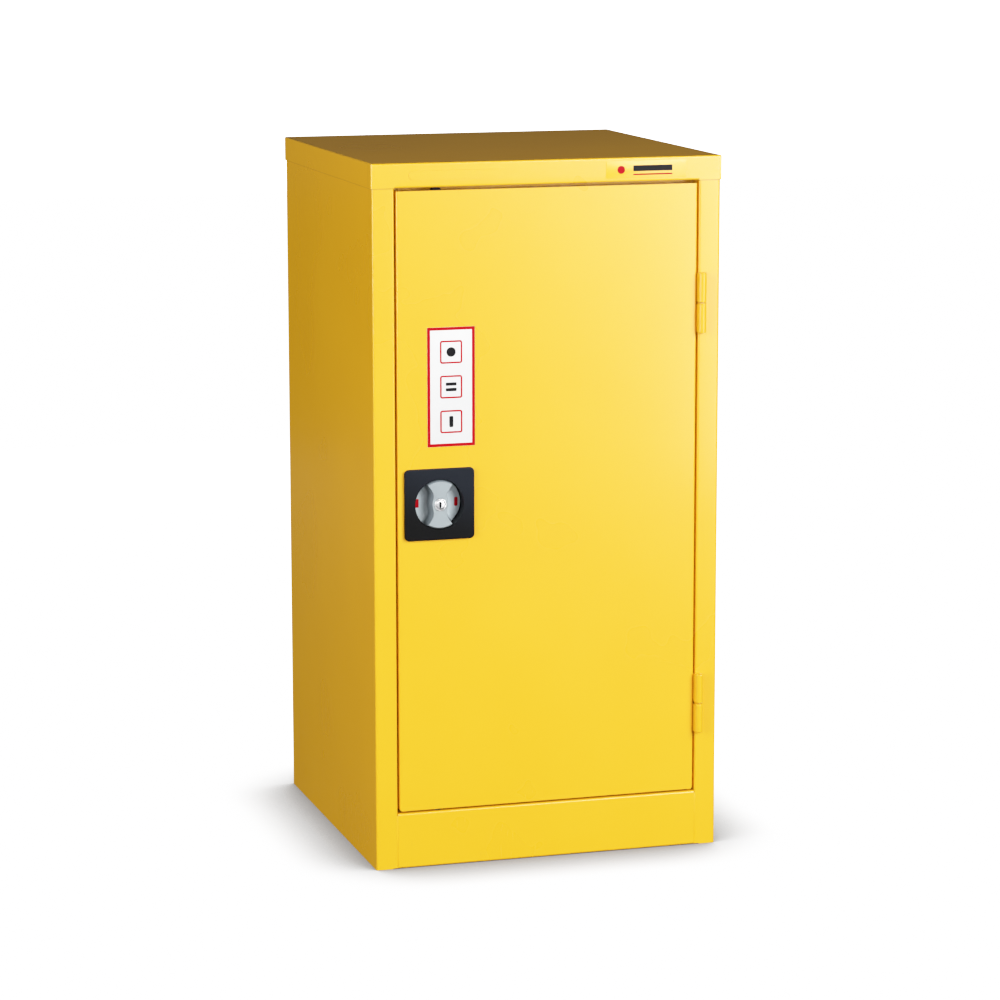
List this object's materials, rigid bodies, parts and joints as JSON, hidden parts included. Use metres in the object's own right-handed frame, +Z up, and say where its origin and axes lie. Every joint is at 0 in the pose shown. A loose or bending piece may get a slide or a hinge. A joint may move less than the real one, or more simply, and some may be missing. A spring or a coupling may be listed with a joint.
{
  "type": "flammable storage cabinet",
  "caption": "Upright sheet steel safety cabinet for flammable liquids, with a hinged door, a recessed rotary lock, a lift-out tray shelf and a leak-proof sump.",
  "frame": {"origin": "on the floor, at the centre of the overall footprint with the door closed", "axes": "+Z up, +X to the right as seen facing the door, +Y from the door towards the back"},
  "size_m": [0.46, 0.4694, 0.9],
  "materials": {
    "yellow_powder_coat": "satin powder coat, fine orange peel",
    "zinc_steel": "bright zinc plate",
    "black_plastic": "fine spark texture",
    "grey_plastic": "satin",
    "red_vinyl": "printed label",
    "white_vinyl": "printed label",
    "clear_vinyl": "clear film over the paint",
    "chrome": "polished",
    "black_rubber": "matt"
  },
  "bodies": {
    "carcass": {"left_side_panel": "yellow_powder_coat", "right_side_panel": "yellow_powder_coat", "left_base_runner": "yellow_powder_coat", "right_base_runner": "yellow_powder_coat", "back_panel": "yellow_powder_coat", "top_cap": "yellow_powder_coat", "top_door_stop": "yellow_powder_coat", "bottom_rail": "yellow_powder_coat", "sump_pan": "yellow_powder_coat", "top_keep": "zinc_steel", "bottom_keep": "zinc_steel", "upper_door_buffer": "black_rubber", "lower_door_buffer": "black_rubber", "cap_label": "clear_vinyl", "front_left_upright": "yellow_powder_coat", "rear_left_upright": "yellow_powder_coat", "front_right_upright": "yellow_powder_coat", "rear_right_upright": "yellow_powder_coat", "front_left_shelf_clip": "zinc_steel", "rear_left_shelf_clip": "zinc_steel", "front_right_shelf_clip": "zinc_steel", "rear_right_shelf_clip": "zinc_steel", "upper_hinge_frame_half": "yellow_powder_coat", "lower_hinge_frame_half": "yellow_powder_coat", "upper_hinge_pin": "zinc_steel", "lower_hinge_pin": "zinc_steel", "upper_hinge_washer": "yellow_powder_coat", "lower_hinge_washer": "yellow_powder_coat"},
    "door": {"door_skin": "yellow_powder_coat", "door_top_channel": "yellow_powder_coat", "door_bottom_channel": "yellow_powder_coat", "door_stiffener": "yellow_powder_coat", "door_label": "white_vinyl", "top_rod_guide": "black_plastic", "bottom_rod_guide": "black_plastic", "upper_hinge_door_half": "yellow_powder_coat", "lower_hinge_door_half": "yellow_powder_coat", "lock_escutcheon": "black_plastic", "lock_clamp_plate": "zinc_steel", "clamp_screw_1": "zinc_steel", "clamp_screw_2": "zinc_steel", "clamp_screw_3": "zinc_steel", "clamp_screw_4": "zinc_steel"},
    "handle": {"turn_handle": "grey_plastic", "left_indicator": "red_vinyl", "right_indicator": "red_vinyl", "cylinder_sleeve": "chrome", "rod_cam": "zinc_steel", "cam_washer": "zinc_steel", "cam_screw": "zinc_steel", "upper_stud_clip": "zinc_steel", "lower_stud_clip": "zinc_steel"},
    "key_plug": {"key_plug": "chrome"},
    "lock_bolt": {"lock_bolt": "zinc_steel"},
    "upper_rod": {"upper_rod": "zinc_steel"},
    "lower_rod": {"lower_rod": "zinc_steel"},
    "shelf": {"shelf_tray": "yellow_powder_coat", "shelf_stiffener": "yellow_powder_coat"}
  },
  "joints": [
    {"name": "door_swing", "type": "hinge", "parent": "carcass", "child": "door", "pos_m": [0.20335, -0.2294, 0.451], "axis": [0, 0, 1], "range_deg": [0, 180]},
    {"name": "handle_turn", "type": "hinge", "parent": "door", "child": "handle", "pos_m": [-0.144, -0.22385, 0.4705], "axis": [0, 1, 0], "range_deg": [0, 90]},
    {"name": "key_turn", "type": "hinge", "parent": "handle", "child": "key_plug", "pos_m": [-0.144, -0.22385, 0.4705], "axis": [0, -1, 0], "range_deg": [0, 90]},
    {"name": "lock_bolt_slide", "type": "slide", "parent": "handle", "child": "lock_bolt", "axis": [0, 0, 1], "range_m": [0, 0.00425]},
    {"name": "upper_rod_slide", "type": "slide", "parent": "door", "child": "upper_rod", "axis": [0, 0, 1], "range_m": [0, 0.0198]},
    {"name": "lower_rod_slide", "type": "slide", "parent": "door", "child": "lower_rod", "axis": [0, 0, -1], "range_m": [0, 0.0198]},
    {"name": "shelf_lift", "type": "slide", "parent": "carcass", "child": "shelf", "axis": [0, 0, 1], "range_m": [0, 0.12]}
  ],
  "couplings": [
    {"joint": "handle_turn", "follows": "upper_rod_slide", "rad_per_m": 79.3},
    {"joint": "lower_rod_slide", "follows": "upper_rod_slide", "ratio": 1},
    {"joint": "lock_bolt_slide", "follows": "key_turn", "m_per_rad": 0.0027}
  ]
}
